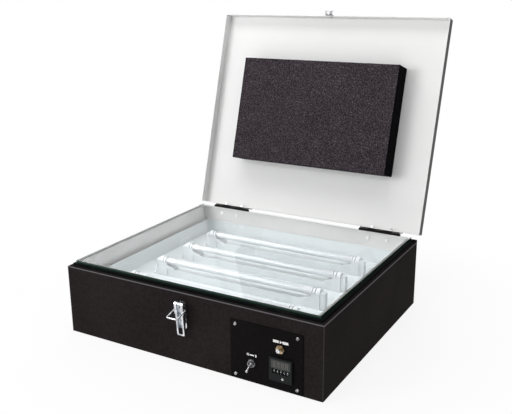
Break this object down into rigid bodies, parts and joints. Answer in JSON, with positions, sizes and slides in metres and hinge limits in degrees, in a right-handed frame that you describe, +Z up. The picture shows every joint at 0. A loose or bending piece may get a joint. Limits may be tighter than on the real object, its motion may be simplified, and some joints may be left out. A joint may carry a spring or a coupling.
{
  "type": "screen exposure unit",
  "caption": "Tabletop light box with a glass top over fluorescent-style tubes and a padded, rear-hinged lid with a front latch, for exposing silk screens.",
  "frame": {"origin": "centre of the cabinet's footprint, on the face it stands on", "axes": "+X to the right, +Y to the back where the lid is hinged, +Z up, seen from the control side"},
  "size_m": [0.61, 0.7273, 0.6651],
  "materials": {
    "cabinet_paint": "satin black powder coat, white inside the lid",
    "zinc_plate": "bright zinc plate",
    "liner_steel": "bare sheet, fine grain",
    "edging_rubber": "matt rubber",
    "plate_glass": "clear float glass with a green edge",
    "white_enamel": "white gloss enamel",
    "tube_glass": "frosted white tube",
    "cap_aluminium": "dull aluminium",
    "white_plastic": "white moulding",
    "dark_screw": "dark plated",
    "driver_case": "satin metal case",
    "panel_paint": "black, smoother than the cabinet",
    "brass_plate": "bright brass",
    "black_plastic": "fine-grained moulding",
    "smoked_window": "smoked window",
    "pad_foam": "open-cell charcoal foam",
    "hinge_black": "black paint"
  },
  "bodies": {
    "cabinet": {"cabinet_shell": "cabinet_paint", "base_pan": "cabinet_paint", "base_screws": "zinc_plate", "glass_liner": "liner_steel", "glass_gasket": "edging_rubber", "glass_plate": "plate_glass", "reflector_tray": "white_enamel", "tray_rails": "liner_steel", "lamp_bases": "white_enamel", "lamp_tube_1": "tube_glass", "lamp_tube_2": "tube_glass", "lamp_tube_3": "tube_glass", "lamp_tube_4": "tube_glass", "lamp_caps_left": "cap_aluminium", "lamp_caps_right": "white_plastic", "lampholders_1": "white_plastic", "lampholders_2": "white_plastic", "lampholders_3": "white_plastic", "lampholders_4": "white_plastic", "lampholder_screws": "dark_screw", "lamp_driver": "driver_case", "terminal_block": "white_plastic", "control_plate": "panel_paint", "control_plate_screws": "zinc_plate", "switch_body": "liner_steel", "switch_nut": "liner_steel", "button_body": "brass_plate", "button_nut": "brass_plate", "timer_case": "black_plastic", "timer_bezel": "black_plastic", "timer_window": "smoked_window", "timer_axle": "zinc_plate", "timer_clamp": "black_plastic", "latch_base": "zinc_plate", "latch_pivot_pin": "zinc_plate", "latch_rivets": "zinc_plate", "hinge_cabinet_leaves": "hinge_black", "hinge_pins": "hinge_black", "hinge_screws_cabinet": "zinc_plate", "power_inlet": "black_plastic", "inlet_screws": "zinc_plate"},
    "lid": {"lid_shell": "cabinet_paint", "lid_foam": "pad_foam", "lid_strike": "zinc_plate", "strike_rivets": "zinc_plate", "hinge_lid_leaves": "hinge_black", "hinge_screws_lid": "zinc_plate"},
    "latch_lever": {"latch_lever": "zinc_plate"},
    "latch_bail": {"latch_bail": "zinc_plate"},
    "switch_lever": {"switch_lever": "zinc_plate"},
    "button_plunger": {"button_plunger": "zinc_plate"},
    "timer_reset_key": {"timer_reset_key": "white_plastic"},
    "timer_wheel_1": {"timer_wheel_1": "black_plastic"},
    "timer_wheel_2": {"timer_wheel_2": "black_plastic"},
    "timer_wheel_3": {"timer_wheel_3": "black_plastic"},
    "timer_wheel_4": {"timer_wheel_4": "black_plastic"},
    "timer_wheel_5": {"timer_wheel_5": "black_plastic"}
  },
  "joints": [
    {"name": "lid_hinge", "type": "hinge", "parent": "cabinet", "child": "lid", "pos_m": [0, 0.2615, 0.1586], "axis": [1, 0, 0], "range_deg": [0, 106.6], "deforming": ["lid_foam"]},
    {"name": "latch_lever_hinge", "type": "hinge", "parent": "cabinet", "child": "latch_lever", "pos_m": [0, -0.2655, 0.1315], "axis": [1, 0, 0], "range_deg": [-120, 0]},
    {"name": "latch_bail_hinge", "type": "hinge", "parent": "latch_lever", "child": "latch_bail", "pos_m": [0, -0.2643, 0.1223], "axis": [-1, 0, 0], "range_deg": [0, 116]},
    {"name": "switch_toggle", "type": "hinge", "parent": "cabinet", "child": "switch_lever", "pos_m": [0.1566, -0.2605, 0.0425], "axis": [-1, 0, 0], "range_deg": [0, 56]},
    {"name": "button_press", "type": "slide", "parent": "cabinet", "child": "button_plunger", "axis": [0, 1, 0], "range_m": [0, 0.0025], "stiffness_N_per_m": 600, "springref_m": -0.001},
    {"name": "reset_key_press", "type": "slide", "parent": "cabinet", "child": "timer_reset_key", "axis": [0, 1, 0], "range_m": [0, 0.001], "stiffness_N_per_m": 400, "springref_m": -0.0005},
    {"name": "setting_wheel_1", "type": "hinge", "parent": "cabinet", "child": "timer_wheel_1", "pos_m": [0.2054, -0.2514, 0.0408], "axis": [1, 0, 0], "continuous": true},
    {"name": "setting_wheel_2", "type": "hinge", "parent": "cabinet", "child": "timer_wheel_2", "pos_m": [0.2124, -0.2514, 0.0408], "axis": [1, 0, 0], "continuous": true},
    {"name": "setting_wheel_3", "type": "hinge", "parent": "cabinet", "child": "timer_wheel_3", "pos_m": [0.2194, -0.2514, 0.0408], "axis": [1, 0, 0], "continuous": true},
    {"name": "setting_wheel_4", "type": "hinge", "parent": "cabinet", "child": "timer_wheel_4", "pos_m": [0.2264, -0.2514, 0.0408], "axis": [1, 0, 0], "continuous": true},
    {"name": "setting_wheel_5", "type": "hinge", "parent": "cabinet", "child": "timer_wheel_5", "pos_m": [0.2334, -0.2514, 0.0408], "axis": [1, 0, 0], "continuous": true}
  ]
}
